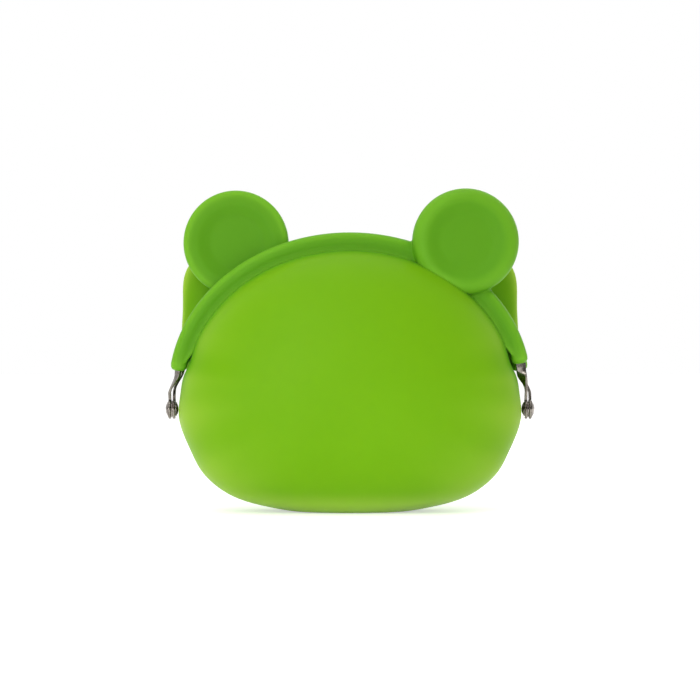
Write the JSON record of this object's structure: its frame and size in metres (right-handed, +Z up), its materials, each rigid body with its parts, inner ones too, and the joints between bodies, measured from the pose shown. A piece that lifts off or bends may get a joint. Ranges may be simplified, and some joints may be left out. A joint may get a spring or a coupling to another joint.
{
  "type": "coin purse",
  "caption": "Soft silicone coin purse shaped like a round-eared head, with a sprung steel frame in its rim and riveted side hinges that let its mouth swing open.",
  "frame": {"origin": "middle of the flat foot that the purse stands on", "axes": "+X to the right along the hinge line, -Y out of the front lobe, +Z up towards the rim"},
  "size_m": [0.105, 0.048, 0.0913],
  "materials": {
    "silicone_pouch": "matte lime-green silicone",
    "silicone_rim": "matte lime-green silicone, a little darker",
    "spring_steel": "bright drawn strip",
    "rivet_steel": "plated, slightly worn"
  },
  "bodies": {
    "pouch": {"pouch_base": "silicone_pouch", "left_rivet": "rivet_steel", "left_inner_washer": "rivet_steel", "left_spacer_washer": "rivet_steel", "right_rivet": "rivet_steel", "right_inner_washer": "rivet_steel", "right_spacer_washer": "rivet_steel"},
    "front_half": {"front_lobe": "silicone_pouch", "front_rim": "silicone_rim", "front_ear": "silicone_rim", "front_bow": "spring_steel"},
    "rear_half": {"rear_lobe": "silicone_pouch", "rear_rim": "silicone_rim", "rear_ear": "silicone_rim", "rear_bow": "spring_steel"}
  },
  "joints": [
    {"name": "front_open", "type": "hinge", "parent": "pouch", "child": "front_half", "pos_m": [0, 0, 0.029], "axis": [1, 0, 0], "range_deg": [0, 35], "deforming": ["front_lobe"]},
    {"name": "rear_open", "type": "hinge", "parent": "pouch", "child": "rear_half", "pos_m": [0, 0, 0.029], "axis": [-1, 0, 0], "range_deg": [0, 35], "deforming": ["rear_lobe"]}
  ],
  "couplings": [
    {"joint": "rear_open", "follows": "front_open", "ratio": 1}
  ]
}
